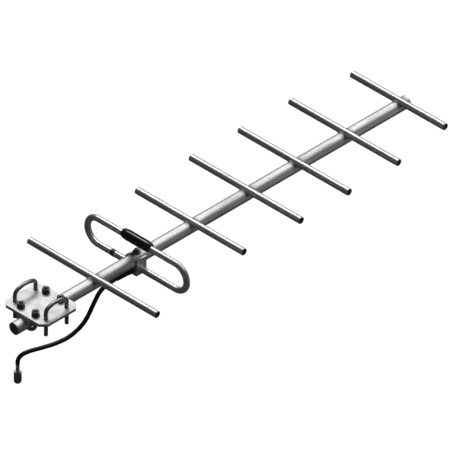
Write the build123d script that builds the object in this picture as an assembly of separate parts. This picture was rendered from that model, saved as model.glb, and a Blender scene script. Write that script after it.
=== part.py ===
from build123d import *
import os
from math import asin, cos, pi, radians, sin, sqrt, tan

# Seven-element UHF yagi antenna with a folded dipole, a mast clamp and a coaxial tail.
# Frame: origin on the top face of the clamp plate, where the mast seats. X runs along the
# elements, Y along the boom towards the front director, Z up. Sizes are in millimetres.

# ---- driving dimensions ----
# clamp plate
PLATE_X = 110.0
PLATE_Y = 95.0
PLATE_T = 6.5
PLATE_CORNER = 12.0
PLATE_EDGE_BREAK = 0.6

# boom
BOOM_D = 25.4
BOOM_WALL = 1.65
BOOM_REAR_OVERHANG = 21.0
BOOM_FRONT_OVERHANG = 19.5
BOOM_PLUG_LENGTH = 7.0
BOOM_PLUG_RECESS = 2.5
BOOM_PLUG_DISH_R = 5.0
BOOM_PLUG_DISH_DEPTH = 1.5

# saddle between plate and boom
SADDLE_WEB = 1.8
SADDLE_WALL = 1.85
SADDLE_FOOT_RISE = 2.0

# straight elements: the reflector's distance ahead of the plate centre, each director's
# distance ahead of the element behind it, and their lengths
ROD_D = 14.3
ROD_WALL = 1.25
ROD_SINK = 0.7
REFLECTOR_Y = 134.6
REFLECTOR_LENGTH = 330.0
DIRECTOR_STEP = [138.0, 144.0, 126.0, 131.0, 142.0]
DIRECTOR_LENGTH = [276.0, 284.0, 282.0, 279.0, 240.0]
ROD_PLUG_LENGTH = 6.0
ROD_PLUG_RECESS = 0.8
WELD_LEG = 1.6
WELD_REACH = 0.93

# folded dipole
DIPOLE_STEP = 112.4
LOOP_TUBE_D = 12.7
LOOP_TUBE_WALL = 1.5
LOOP_SPACING = 56.8
LOOP_STRAIGHT = 199.2
UNDER_BOOM_GAP = 0.5
FEED_GAP = 12.0
MARKER_X = -60.5
MARKER_WIDTH = 10.0
MARKER_WALL = 0.5

# moulded feed housing on the upper rod
HOUSING_LENGTH = 71.0
HOUSING_R = 10.5
HOUSING_END_R = 8.8
HOUSING_BARREL = 48.0
HOUSING_RISE = 2.0
HOUSING_WALL = 2.0
HOUSING_POCKET = 34.0
HOUSING_END_FILLET = 1.2
INSULATOR_LENGTH = 44.0
FEED_COAX_D = 3.6
FEED_COAX_START = 5.5
FEED_COAX_END = 3.0
FEED_SCREW_X = 12.0
FEED_SCREW_D = 3.0
FEED_SCREW_BITE = 2.2
FEED_SCREW_HEAD_D = 5.5
FEED_SCREW_HEAD_H = 1.8

# block under the boom that carries the dipole
BLOCK_REAR = 15.5
BLOCK_FRONT = 9.5
BLOCK_WALL = 2.3
BLOCK_CHEEK = 7.0
BLOCK_FLOOR = 2.0
BLOCK_FILLET = 2.0
BOLT_D = 6.0
BOLT_HOLE_CLEARANCE = 0.2
BOLT_HEAD_AF = 10.0
BOLT_HEAD_H = 5.0
BOLT_WASHER_D = 16.5
BOLT_WASHER_T = 1.6
BOLT_NUT_H = 5.0
BOLT_TIP = 3.0

# U-bolts and their hardware
UBOLT_D = 8.0
UBOLT_HOLE_CLEARANCE = 0.5
UBOLT_TIP_BREAK = 0.8
BOOM_UBOLT_Y = 32.0
BOOM_UBOLT_SIDE_GAP = 2.3
BOOM_UBOLT_STUD = 3.4
MAST_UBOLT_X = 40.0
MAST_UBOLT_LEG_Y = 26.5
MAST_UBOLT_REACH = 37.5
MAST_UBOLT_LEG_TOP = 11.9
MAST_UBOLT_SHOULDER_R = 10.0
MAST_UBOLT_CROWN_R = 50.0
NUT_AF = 13.0
NUT_H = 6.5
NUT_CHAMFER_ANGLE = 30.0
WASHER_D = 16.0
WASHER_T = 1.6
LOCK_WASHER_D = 14.4
LOCK_WASHER_T = 2.0
LOCK_WASHER_SLIT = 1.2
LOCK_WASHER_SLIT_LEAN = 20.0

# coaxial tail
CABLE_D = 8.6
BOOT_LENGTH = 38.0
BOOT_ROOT_D = 14.0
BOOT_TIP_D = 10.8
BOOT_GROOVES = 4
BOOT_GROOVE_PITCH = 5.0
BOOT_GROOVE_WIDTH = 1.6
BOOT_GROOVE_DEPTH = 0.9
BOOT_FIRST_GROOVE = 14.0
CABLE_RELATIVE_RADIUS = 0.45

# plug at the end of the tail
PLUG_X = -45.0
PLUG_Y = -16.0
PLUG_TOP_Z = -149.2
FERRULE_D = 7.4
FERRULE_LENGTH = 7.6
STEM_D = 6.0
NECK_D = 7.0
NECK_LENGTH = 8.2
BARREL_D = 9.2
BARREL_LENGTH = 8.0
CONTACT_D = 8.0
CONTACT_BORE = 6.6
CONTACT_LENGTH = 8.0
PIN_D = 1.4
PIN_START = 4.0
PIN_REACH = 1.0
INSULATOR_STEM_D = 3.2
INSULATOR_FACE = 2.0
NUT_BODY_D = 15.0
NUT_BODY_LENGTH = 24.8
NUT_BODY_FRONT_D = 12.2
NUT_BODY_FRONT_TAPER = 3.2
NUT_BODY_REAR_BREAK = 0.8
NUT_THREAD_D = 10.2
NUT_RELIEF_D = 12.4
NUT_RELIEF_START = 4.2
NUT_RELIEF_LENGTH = 12.0
RUNNING_GAP = 0.05
END_GAP = 0.3
SNAP_RING_D = 11.8
SNAP_RING_T = 1.0
SNAP_RING_OPENING = 2.0
GASKET_D = 10.0
GASKET_T = 1.2

# knurl of straight grooves around the coupling nut
KNURL_COUNT = 24
KNURL_WIDTH = 0.8
KNURL_DEPTH = 0.4
KNURL_MARGIN = 2.2

# how far a cutting shape runs past the face it opens
OVERRUN = 1.0

# ---- worked out from the above ----
BOOM_R = BOOM_D / 2
BOOM_BORE_R = BOOM_R - BOOM_WALL
BOOM_Z = -(PLATE_T + SADDLE_WEB + RUNNING_GAP + BOOM_R)
BOOM_REAR_Y = -(PLATE_Y / 2 + BOOM_REAR_OVERHANG)
ROD_R = ROD_D / 2
ROD_BORE_R = ROD_R - ROD_WALL
ROD_RISE = BOOM_R - ROD_SINK
WELD_HALF_X = WELD_REACH * sqrt(BOOM_R**2 - (ROD_RISE - ROD_R)**2)
ROD_Z = BOOM_Z + ROD_RISE
DIPOLE_Y = REFLECTOR_Y + DIPOLE_STEP
DIRECTOR_Y = [DIPOLE_Y + sum(DIRECTOR_STEP[:count]) for count in range(1, len(DIRECTOR_STEP) + 1)]
ELEMENT_Y = [REFLECTOR_Y] + DIRECTOR_Y
ELEMENT_NAME = ["reflector"] + ["director_%d" % (index + 1) for index in range(len(DIRECTOR_Y))]
ELEMENT_LENGTH = [REFLECTOR_LENGTH] + DIRECTOR_LENGTH
BOOM_FRONT_Y = DIRECTOR_Y[-1] + BOOM_FRONT_OVERHANG
LOOP_R = LOOP_TUBE_D / 2
LOOP_BORE_R = LOOP_R - LOOP_TUBE_WALL
LOOP_LOW_Z = BOOM_Z - BOOM_R - UNDER_BOOM_GAP - max(LOOP_R, BOOT_ROOT_D / 2)
LOOP_HIGH_Z = LOOP_LOW_Z + LOOP_SPACING
LOOP_BEND_X = LOOP_STRAIGHT / 2
BLOCK_X = BOOM_D + 2 * BLOCK_WALL
BLOCK_TOP_Z = BOOM_Z + BLOCK_CHEEK
BLOCK_BOTTOM_Z = LOOP_LOW_Z - LOOP_R - BLOCK_FLOOR
BLOCK_REAR_Y = DIPOLE_Y - BLOCK_REAR
BLOCK_FRONT_Y = DIPOLE_Y + BLOCK_FRONT
UBOLT_R = UBOLT_D / 2
BOOM_UBOLT_LEG_X = BOOM_R + BOOM_UBOLT_SIDE_GAP + UBOLT_R
BOOM_UBOLT_TIP_Z = WASHER_T + LOCK_WASHER_T + NUT_H + BOOM_UBOLT_STUD
CABLE_R = CABLE_D / 2
BOOT_TIP_Y = BLOCK_REAR_Y - BOOT_LENGTH
NECK_Z = PLUG_TOP_Z - FERRULE_LENGTH
BARREL_Z = NECK_Z - NECK_LENGTH
CONTACT_Z = BARREL_Z - BARREL_LENGTH
CONTACT_TIP_Z = CONTACT_Z - CONTACT_LENGTH
NUT_BODY_TOP_Z = BARREL_Z - END_GAP
NUT_BODY_FRONT_Z = NUT_BODY_TOP_Z - NUT_BODY_LENGTH
SADDLE_HALF_X = BOOM_R + RUNNING_GAP + SADDLE_WALL

# The tail's route: out of the boot, down behind the reflector, back under the clamp in a
# lazy bend, and straight down into the plug.
CABLE_ROUTE = [
    (0.0, BOOT_TIP_Y, LOOP_LOW_Z),
    (0.0, 157.5, LOOP_LOW_Z),
    (-0.5, 136.7, -66.2),
    (-3.0, 116.5, -101.5),
    (-9.5, 86.5, -121.0),
    (-16.5, 55.0, -125.0),
    (-27.0, 27.5, -126.2),
    (-34.4, 9.9, -126.6),
    (-40.2, -4.4, -128.6),
    (-43.5, -12.3, -134.0),
    (PLUG_X, PLUG_Y, -141.2),
    (PLUG_X, PLUG_Y, PLUG_TOP_Z),
]


# ---- helpers ----
def cylinder_x(radius, length, x, y, z):
    """Solid cylinder along X, centred at x, y, z."""
    return Pos(x, y, z) * Rot(0, 90, 0) * Cylinder(radius, length)


def cylinder_y(radius, y_from, y_to, z=0.0, x=0.0):
    """Solid cylinder along Y between two stations."""
    middle = (y_from + y_to) / 2
    return Pos(x, middle, z) * Rot(90, 0, 0) * Cylinder(radius, abs(y_to - y_from))


def cylinder_z(radius, z_from, z_to, x=0.0, y=0.0):
    """Solid cylinder along Z between two heights."""
    return Pos(x, y, (z_from + z_to) / 2) * Cylinder(radius, abs(z_to - z_from))


def box_between(x0, x1, y0, y1, z0, z1):
    """Solid box between two corners."""
    middle = Pos((x0 + x1) / 2, (y0 + y1) / 2, (z0 + z1) / 2)
    return middle * Box(x1 - x0, y1 - y0, z1 - z0)


def hex_prism(across_flats, height, x, y, z_bottom):
    """Hexagonal head or nut with its corners turned off at the top and bottom."""
    circumradius = across_flats / sqrt(3)
    prism = Pos(x, y, z_bottom) * extrude(RegularPolygon(circumradius, 6), height)
    drop = (circumradius - across_flats / 2) * tan(radians(NUT_CHAMFER_ANGLE))
    rim = across_flats / 2
    outline = Polyline(
        (0, 0),
        (rim, 0),
        (circumradius, drop),
        (circumradius, height - drop),
        (rim, height),
        (0, height),
        close=True,
    )
    turned = revolve(Plane.XZ * make_face(outline), Axis.Z)
    return prism & Pos(x, y, z_bottom) * turned


def hex_nut(across_flats, height, bore_d, x, y, z_bottom):
    """Hexagonal nut on a vertical thread."""
    body = hex_prism(across_flats, height, x, y, z_bottom)
    return body - cylinder_z(bore_d / 2, z_bottom - OVERRUN, z_bottom + height + OVERRUN, x, y)


def flat_washer(outer_d, bore_d, thickness, x, y, z_bottom):
    """Plain washer on a vertical thread."""
    disc = cylinder_z(outer_d / 2, z_bottom, z_bottom + thickness, x, y)
    return disc - cylinder_z(bore_d / 2, z_bottom - OVERRUN, z_bottom + thickness + OVERRUN, x, y)


def lock_washer(bore_d, x, y, z_bottom):
    """Split spring washer, closed flat, with a slanted slit on its outer side."""
    ring = flat_washer(LOCK_WASHER_D, bore_d, LOCK_WASHER_T, x, y, z_bottom)
    side = 1 if x >= 0 else -1
    reach = LOCK_WASHER_D
    slit = Box(reach, LOCK_WASHER_SLIT, 2 * LOCK_WASHER_T)
    centre_z = z_bottom + LOCK_WASHER_T / 2
    return ring - Pos(x + side * reach / 2, y, centre_z) * Rot(LOCK_WASHER_SLIT_LEAN, 0, 0) * slit


def save(name, shape):
    """Write one named piece."""
    export_step(shape, os.path.join("parts", name + ".step"))


def group(shapes):
    """Separate solids that share one node."""
    return Compound(children=list(shapes))


# ---- boom and straight elements ----
def make_boom_tube():
    tube = cylinder_y(BOOM_R, BOOM_REAR_Y, BOOM_FRONT_Y, BOOM_Z)
    tube -= cylinder_y(BOOM_BORE_R, BOOM_REAR_Y - OVERRUN, BOOM_FRONT_Y + OVERRUN, BOOM_Z)
    for y in ELEMENT_Y:
        tube -= cylinder_x(ROD_R, 2 * BOOM_D, 0, y, ROD_Z)
    hole_r = BOLT_D / 2 + BOLT_HOLE_CLEARANCE
    tube -= cylinder_z(hole_r, BOOM_Z - BOOM_D, BOOM_Z + BOOM_D, 0, DIPOLE_Y)
    return tube


def make_boom_plug(y_face, inward):
    """Pressed-in plug; inward is the direction from the open end into the boom."""
    outer = y_face + inward * BOOM_PLUG_RECESS
    inner = outer + inward * BOOM_PLUG_LENGTH
    plug = cylinder_y(BOOM_BORE_R, outer, inner, BOOM_Z)
    dish = cylinder_y(BOOM_PLUG_DISH_R, outer - inward, outer + inward * BOOM_PLUG_DISH_DEPTH, BOOM_Z)
    return plug - dish


def make_element(y, length):
    rod = cylinder_x(ROD_R, length, 0, y, ROD_Z)
    return rod - cylinder_x(ROD_BORE_R, length + 2 * OVERRUN, 0, y, ROD_Z)


def make_element_plugs():
    """One flat plug pressed just inside each rod end."""
    plugs = []
    for y, length in zip(ELEMENT_Y, ELEMENT_LENGTH):
        centre = length / 2 - ROD_PLUG_RECESS - ROD_PLUG_LENGTH / 2
        for side in (-1, 1):
            plugs.append(cylinder_x(ROD_BORE_R, ROD_PLUG_LENGTH, side * centre, y, ROD_Z))
    return plugs


def make_welds(y):
    """Beads that fill the corner between one rod and the boom, at its front and its rear."""
    beads = cylinder_x(ROD_R + WELD_LEG, 2 * WELD_HALF_X, 0, y, ROD_Z)
    beads &= cylinder_y(BOOM_R + WELD_LEG, y - BOOM_D, y + BOOM_D, BOOM_Z)
    beads -= cylinder_x(ROD_R, 2 * BOOM_D, 0, y, ROD_Z)
    beads -= cylinder_y(BOOM_R, y - 2 * BOOM_D, y + 2 * BOOM_D, BOOM_Z)
    return list(beads.solids())


# ---- folded dipole ----
def loop_path(start_x, end_x):
    """Centreline from the lower or upper rod around the right bend; y is the dipole plane."""
    low_right = (LOOP_BEND_X, DIPOLE_Y, LOOP_LOW_Z)
    high_right = (LOOP_BEND_X, DIPOLE_Y, LOOP_HIGH_Z)
    right_tip = (LOOP_BEND_X + LOOP_SPACING / 2, DIPOLE_Y, (LOOP_LOW_Z + LOOP_HIGH_Z) / 2)
    low = Line((start_x, DIPOLE_Y, LOOP_LOW_Z), low_right)
    bend = ThreePointArc(low_right, right_tip, high_right)
    high = Line(high_right, (end_x, DIPOLE_Y, LOOP_HIGH_Z))
    return Wire([low.edge(), bend.edge(), high.edge()])


def swept_half_loop(radius, start_x, end_x):
    """Round bar along the right half of the loop."""
    path = loop_path(start_x, end_x)
    section = Plane(origin=path @ 0, z_dir=path % 0) * Circle(radius)
    return sweep(section, path=path)


def screw_shank(side):
    """Terminal screw's shank, which bites into the insulator through the tube wall."""
    top = LOOP_HIGH_Z + LOOP_R
    return cylinder_z(FEED_SCREW_D / 2, LOOP_HIGH_Z + FEED_SCREW_BITE, top, side * FEED_SCREW_X, DIPOLE_Y)


def make_dipole_loop():
    half = swept_half_loop(LOOP_R, 0, FEED_GAP / 2)
    bore = swept_half_loop(LOOP_BORE_R, 0, FEED_GAP / 2)
    whole = half + mirror(half, about=Plane.YZ)
    hollow = whole - bore - mirror(bore, about=Plane.YZ)
    end_bore_length = INSULATOR_LENGTH + FEED_GAP
    hollow -= cylinder_x(LOOP_BORE_R, end_bore_length, 0, DIPOLE_Y, LOOP_HIGH_Z)
    hole_r = BOLT_D / 2 + BOLT_HOLE_CLEARANCE
    hollow -= cylinder_z(hole_r, LOOP_LOW_Z - LOOP_TUBE_D, LOOP_LOW_Z + LOOP_TUBE_D, 0, DIPOLE_Y)
    for side in (-1, 1):
        hollow -= screw_shank(side)
    return hollow


def make_feed_insulator():
    """Plug that joins the two tube ends, with a collar that fills the feed gap."""
    core = cylinder_x(LOOP_BORE_R, INSULATOR_LENGTH, 0, DIPOLE_Y, LOOP_HIGH_Z)
    core += cylinder_x(LOOP_R, FEED_GAP, 0, DIPOLE_Y, LOOP_HIGH_Z)
    coax_length = INSULATOR_LENGTH / 2 - FEED_COAX_END + OVERRUN
    coax_middle = FEED_COAX_END + coax_length / 2
    core -= cylinder_x(FEED_COAX_D / 2, coax_length, coax_middle, DIPOLE_Y, LOOP_HIGH_Z)
    for side in (-1, 1):
        core -= screw_shank(side)
    return core


def make_feed_screws():
    screws = []
    top = LOOP_HIGH_Z + LOOP_R
    for side in (-1, 1):
        head = cylinder_z(FEED_SCREW_HEAD_D / 2, top, top + FEED_SCREW_HEAD_H, side * FEED_SCREW_X, DIPOLE_Y)
        screws.append(screw_shank(side) + head)
    return screws


def make_feed_housing():
    """Round moulded cover, a little higher than the rod, tapering to both ends."""
    axis_z = LOOP_HIGH_Z + HOUSING_RISE
    half = HOUSING_LENGTH / 2
    barrel = HOUSING_BARREL / 2
    outline = Polyline(
        (-half, 0),
        (-half, HOUSING_END_R),
        (-barrel, HOUSING_R),
        (barrel, HOUSING_R),
        (half, HOUSING_END_R),
        (half, 0),
        close=True,
    )
    body = revolve(make_face(outline), Axis.X)
    rims = body.edges().filter_by(GeomType.CIRCLE).sort_by(Axis.X)
    body = fillet([rims[0], rims[-1]], HOUSING_END_FILLET)
    body = Pos(0, DIPOLE_Y, axis_z) * body
    body -= cylinder_x(LOOP_R, HOUSING_LENGTH + 2 * OVERRUN, 0, DIPOLE_Y, LOOP_HIGH_Z)
    body -= cylinder_x(HOUSING_R - HOUSING_WALL, HOUSING_POCKET, 0, DIPOLE_Y, axis_z)
    return body


def make_marker_sleeve():
    sleeve = cylinder_x(LOOP_R + MARKER_WALL, MARKER_WIDTH, MARKER_X, DIPOLE_Y, LOOP_LOW_Z)
    return sleeve - cylinder_x(LOOP_R, MARKER_WIDTH + 2 * OVERRUN, MARKER_X, DIPOLE_Y, LOOP_LOW_Z)


def make_dipole_block():
    """Block that saddles the boom from below and holds the dipole's lower rod."""
    half_x = BLOCK_X / 2
    rear = BLOCK_REAR_Y - OVERRUN
    front = BLOCK_FRONT_Y + OVERRUN
    block = box_between(-half_x, half_x, BLOCK_REAR_Y, BLOCK_FRONT_Y, BLOCK_BOTTOM_Z, BLOCK_TOP_Z)
    block = fillet(block.edges().filter_by(Axis.Y).sort_by(Axis.Z)[:2], BLOCK_FILLET)
    block -= cylinder_y(BOOM_R, rear, front, BOOM_Z)
    block -= box_between(-BOOM_R, BOOM_R, rear, front, BOOM_Z, BLOCK_TOP_Z + OVERRUN)
    block -= cylinder_x(LOOP_R, BLOCK_X + 2 * OVERRUN, 0, DIPOLE_Y, LOOP_LOW_Z)
    hole_r = BOLT_D / 2 + BOLT_HOLE_CLEARANCE
    block -= cylinder_z(hole_r, BLOCK_BOTTOM_Z - OVERRUN, BOOM_Z, 0, DIPOLE_Y)
    block -= cylinder_y(CABLE_R, rear, DIPOLE_Y - LOOP_R / 2, LOOP_LOW_Z)
    return block


def make_dipole_bolt():
    head_z = BOOM_Z + BOOM_R + BOLT_WASHER_T
    tip_z = BLOCK_BOTTOM_Z - BOLT_WASHER_T - BOLT_NUT_H - BOLT_TIP
    shank = cylinder_z(BOLT_D / 2, tip_z, head_z, 0, DIPOLE_Y)
    return shank + hex_prism(BOLT_HEAD_AF, BOLT_HEAD_H, 0, DIPOLE_Y, head_z)


def make_dipole_bolt_washers():
    bore = BOLT_D + 2 * BOLT_HOLE_CLEARANCE
    heights = (BOOM_Z + BOOM_R, BLOCK_BOTTOM_Z - BOLT_WASHER_T)
    return [flat_washer(BOLT_WASHER_D, bore, BOLT_WASHER_T, 0, DIPOLE_Y, z) for z in heights]


def make_dipole_bolt_nut():
    bottom = BLOCK_BOTTOM_Z - BOLT_WASHER_T - BOLT_NUT_H
    return hex_nut(BOLT_HEAD_AF, BOLT_NUT_H, BOLT_D, 0, DIPOLE_Y, bottom)


# ---- coaxial tail ----
def make_cable_boot():
    """Tapered, ringed bend relief moulded against the rear face of the block."""
    root_r = BOOT_ROOT_D / 2
    tip_r = BOOT_TIP_D / 2
    outline = Polyline((0, 0), (root_r, 0), (tip_r, BOOT_LENGTH), (0, BOOT_LENGTH), close=True)
    boot = revolve(Plane.XZ * make_face(outline), Axis.Z)
    for index in range(BOOT_GROOVES):
        along = BOOT_FIRST_GROOVE + index * BOOT_GROOVE_PITCH
        outer = root_r + (tip_r - root_r) * along / BOOT_LENGTH
        end = along + BOOT_GROOVE_WIDTH
        ring = cylinder_z(root_r + OVERRUN, along, end)
        ring -= cylinder_z(outer - BOOT_GROOVE_DEPTH, along - OVERRUN, end + OVERRUN)
        boot -= ring
    boot -= cylinder_z(CABLE_R, -OVERRUN, BOOT_LENGTH + OVERRUN)
    return Pos(0, BLOCK_REAR_Y, LOOP_LOW_Z) * Rot(90, 0, 0) * boot


def make_cable_tail_root():
    """The straight end of the cable, held inside the boot and the block."""
    inside = DIPOLE_Y - LOOP_R - END_GAP
    return cylinder_y(CABLE_R, BOOT_TIP_Y, inside, LOOP_LOW_Z)


def cable_radii(points):
    """Bend radius at each corner: as large as its two runs allow."""
    radii = []
    for before, here, after in zip(points, points[1:], points[2:]):
        run_in = Vector(here) - Vector(before)
        run_out = Vector(after) - Vector(here)
        half_turn = radians(run_in.get_angle(run_out)) / 2
        shorter = min(run_in.length, run_out.length)
        radii.append(CABLE_RELATIVE_RADIUS * shorter / tan(half_turn))
    return radii


def make_coax_cable():
    radii = cable_radii(CABLE_ROUTE)
    path = FilletPolyline(*CABLE_ROUTE, radius=radii)
    section = Plane(origin=path @ 0, z_dir=path % 0) * Circle(CABLE_R)
    cable = sweep(section, path=path)
    expected = pi * CABLE_R**2 * path.length
    print("cable bend radii", [round(radius, 1) for radius in radii])
    print("cable length", round(path.length, 1), "volume ratio", round(cable.volume / expected, 4))
    return cable


def make_dipole_feed_coax():
    """Thin line inside the tube, from the block around the right bend to the feed gap."""
    return swept_half_loop(FEED_COAX_D / 2, FEED_COAX_START, FEED_COAX_END)


# ---- plug ----
def plug_cylinder(radius, z_from, z_to):
    return cylinder_z(radius, z_from, z_to, PLUG_X, PLUG_Y)


def make_crimp_ferrule():
    ferrule = plug_cylinder(FERRULE_D / 2, NECK_Z, PLUG_TOP_Z)
    return ferrule - plug_cylinder(STEM_D / 2, NECK_Z - OVERRUN, PLUG_TOP_Z + OVERRUN)


def make_plug_body():
    """Stem, neck, barrel and hollow outer contact in one turned piece."""
    body = plug_cylinder(STEM_D / 2, NECK_Z, PLUG_TOP_Z)
    body += plug_cylinder(NECK_D / 2, BARREL_Z, NECK_Z)
    body += plug_cylinder(BARREL_D / 2, CONTACT_Z, BARREL_Z)
    body += plug_cylinder(CONTACT_D / 2, CONTACT_TIP_Z, CONTACT_Z)
    body -= plug_cylinder(CONTACT_BORE / 2, CONTACT_TIP_Z - OVERRUN, CONTACT_Z)
    body -= plug_cylinder(INSULATOR_STEM_D / 2, CONTACT_Z - OVERRUN, PLUG_TOP_Z - PIN_START)
    return body


def make_plug_insulator():
    insulator = plug_cylinder(CONTACT_BORE / 2, CONTACT_TIP_Z + INSULATOR_FACE, CONTACT_Z)
    insulator += plug_cylinder(INSULATOR_STEM_D / 2, CONTACT_Z, PLUG_TOP_Z - PIN_START)
    return insulator - plug_cylinder(PIN_D / 2, CONTACT_TIP_Z, PLUG_TOP_Z)


def make_plug_pin():
    pin = plug_cylinder(PIN_D / 2, CONTACT_TIP_Z + PIN_REACH, PLUG_TOP_Z - PIN_START)
    tip = pin.edges().sort_by(Axis.Z)[0]
    return chamfer(tip, PIN_D / 4)


def make_plug_gasket():
    top = CONTACT_Z
    ring = plug_cylinder(GASKET_D / 2, top - GASKET_T, top)
    return ring - plug_cylinder(CONTACT_D / 2, top - GASKET_T - OVERRUN, top + OVERRUN)


def make_plug_snap_ring():
    middle = NUT_BODY_TOP_Z - NUT_RELIEF_START - SNAP_RING_T
    half = SNAP_RING_T / 2
    ring = plug_cylinder(SNAP_RING_D / 2, middle - half, middle + half)
    ring -= plug_cylinder(BARREL_D / 2, middle - SNAP_RING_T, middle + SNAP_RING_T)
    gap = Pos(PLUG_X, PLUG_Y - SNAP_RING_D / 2, middle) * Box(SNAP_RING_OPENING, SNAP_RING_D, 2 * SNAP_RING_T)
    return ring - gap


def make_coupling_nut():
    """Knurled nut that turns on the plug's barrel, with a tapered nose."""
    straight_z = NUT_BODY_FRONT_Z + NUT_BODY_FRONT_TAPER
    outer_r = NUT_BODY_D / 2
    outline = Polyline(
        (0, NUT_BODY_FRONT_Z),
        (NUT_BODY_FRONT_D / 2, NUT_BODY_FRONT_Z),
        (outer_r, straight_z),
        (outer_r, NUT_BODY_TOP_Z - NUT_BODY_REAR_BREAK),
        (outer_r - NUT_BODY_REAR_BREAK, NUT_BODY_TOP_Z),
        (0, NUT_BODY_TOP_Z),
        close=True,
    )
    nut = Pos(PLUG_X, PLUG_Y, 0) * revolve(Plane.XZ * make_face(outline), Axis.Z)
    nut -= plug_cylinder(BARREL_D / 2 + RUNNING_GAP, NUT_BODY_FRONT_Z, NUT_BODY_TOP_Z + OVERRUN)
    relief_top = NUT_BODY_TOP_Z - NUT_RELIEF_START
    nut -= plug_cylinder(NUT_RELIEF_D / 2, relief_top - NUT_RELIEF_LENGTH, relief_top)
    nut -= plug_cylinder(NUT_THREAD_D / 2, NUT_BODY_FRONT_Z - OVERRUN, relief_top)
    knurl_top = NUT_BODY_TOP_Z - KNURL_MARGIN
    knurl_bottom = straight_z + KNURL_MARGIN
    groove = Box(2 * KNURL_DEPTH, KNURL_WIDTH, knurl_top - knurl_bottom)
    for index in range(KNURL_COUNT):
        turn = Pos(PLUG_X, PLUG_Y, (knurl_top + knurl_bottom) / 2) * Rot(0, 0, index * 360 / KNURL_COUNT)
        nut -= turn * Pos(outer_r, 0, 0) * groove
    return nut


# ---- clamp ----
def make_mount_plate():
    blank = extrude(Rectangle(PLATE_X, PLATE_Y), PLATE_T)
    blank = chamfer(blank.edges().filter_by(Axis.Z), PLATE_CORNER)
    rims = blank.faces().sort_by(Axis.Z)[-1].edges() + blank.faces().sort_by(Axis.Z)[0].edges()
    blank = chamfer(rims, PLATE_EDGE_BREAK)
    plate = Pos(0, 0, -PLATE_T) * blank
    hole_r = UBOLT_R + UBOLT_HOLE_CLEARANCE
    for sx in (-1, 1):
        for sy in (-1, 1):
            for x, y in ((BOOM_UBOLT_LEG_X, BOOM_UBOLT_Y), (MAST_UBOLT_X, MAST_UBOLT_LEG_Y)):
                plate -= cylinder_z(hole_r, -PLATE_T - OVERRUN, OVERRUN, sx * x, sy * y)
    return plate


def make_boom_saddle():
    """Channel between plate and boom, hollowed to the boom's curve."""
    half_y = PLATE_Y / 2
    foot = BOOM_Z + SADDLE_FOOT_RISE
    block = box_between(-SADDLE_HALF_X, SADDLE_HALF_X, -half_y, half_y, foot, -PLATE_T)
    block -= cylinder_y(BOOM_R + RUNNING_GAP, -half_y - OVERRUN, half_y + OVERRUN, BOOM_Z)
    return block


def u_bolt(leg_half, bend_z, tip_z, arch):
    """Bent rod in the XZ plane: two vertical legs joined by an arch from left to right."""
    left = Line((-leg_half, 0, tip_z), (-leg_half, 0, bend_z))
    right = Line((leg_half, 0, bend_z), (leg_half, 0, tip_z))
    path = Wire([left.edge()] + [part.edge() for part in arch] + [right.edge()])
    rod = sweep(Plane(origin=path @ 0, z_dir=path % 0) * Circle(UBOLT_R), path=path)
    tips = rod.edges().filter_by(GeomType.CIRCLE).sort_by(Axis.Z)
    ends = tips[:2] if bend_z > tip_z else tips[-2:]
    return chamfer(ends, UBOLT_TIP_BREAK)


def make_boom_ubolts():
    """Two bolts whose half-round bends pass under the boom, with their tips above the plate."""
    half = BOOM_UBOLT_LEG_X
    bend_z = BOOM_Z - BOOM_R - RUNNING_GAP - UBOLT_R + half
    arch = [ThreePointArc((-half, 0, bend_z), (0, 0, bend_z - half), (half, 0, bend_z))]
    bolt = u_bolt(half, bend_z, BOOM_UBOLT_TIP_Z, arch)
    return [Pos(0, side * BOOM_UBOLT_Y, 0) * bolt for side in (-1, 1)]


def boom_leg_places():
    return [(sx * BOOM_UBOLT_LEG_X, sy * BOOM_UBOLT_Y) for sx in (-1, 1) for sy in (-1, 1)]


def mast_arch():
    """Tight shoulders over the legs, joined by a shallow crown."""
    half = MAST_UBOLT_LEG_Y
    base = MAST_UBOLT_LEG_TOP
    shoulder_r = MAST_UBOLT_SHOULDER_R
    lean = asin((half - shoulder_r) / (MAST_UBOLT_CROWN_R - shoulder_r))
    crown_z = base - (MAST_UBOLT_CROWN_R - shoulder_r) * cos(lean)
    crown_x = MAST_UBOLT_CROWN_R * sin(lean)
    meet_z = crown_z + MAST_UBOLT_CROWN_R * cos(lean)
    middle = (pi / 2 + lean) / 2
    bulge_x = half - shoulder_r + shoulder_r * sin(middle)
    bulge_z = base + shoulder_r * cos(middle)
    return [
        ThreePointArc((-half, 0, base), (-bulge_x, 0, bulge_z), (-crown_x, 0, meet_z)),
        ThreePointArc((-crown_x, 0, meet_z), (0, 0, crown_z + MAST_UBOLT_CROWN_R), (crown_x, 0, meet_z)),
        ThreePointArc((crown_x, 0, meet_z), (bulge_x, 0, bulge_z), (half, 0, base)),
    ]


def make_mast_ubolt(side):
    bolt = u_bolt(MAST_UBOLT_LEG_Y, MAST_UBOLT_LEG_TOP, -MAST_UBOLT_REACH, mast_arch())
    return Pos(side * MAST_UBOLT_X, 0, 0) * Rot(0, 0, 90) * bolt


def washers_at(places, z_bottom):
    return [flat_washer(WASHER_D, UBOLT_D, WASHER_T, x, y, z_bottom) for x, y in places]


def lock_washers_at(places, z_bottom):
    return [lock_washer(UBOLT_D, x, y, z_bottom) for x, y in places]


def nuts_at(places, z_bottom):
    return [hex_nut(NUT_AF, NUT_H, UBOLT_D, x, y, z_bottom) for x, y in places]


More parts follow.
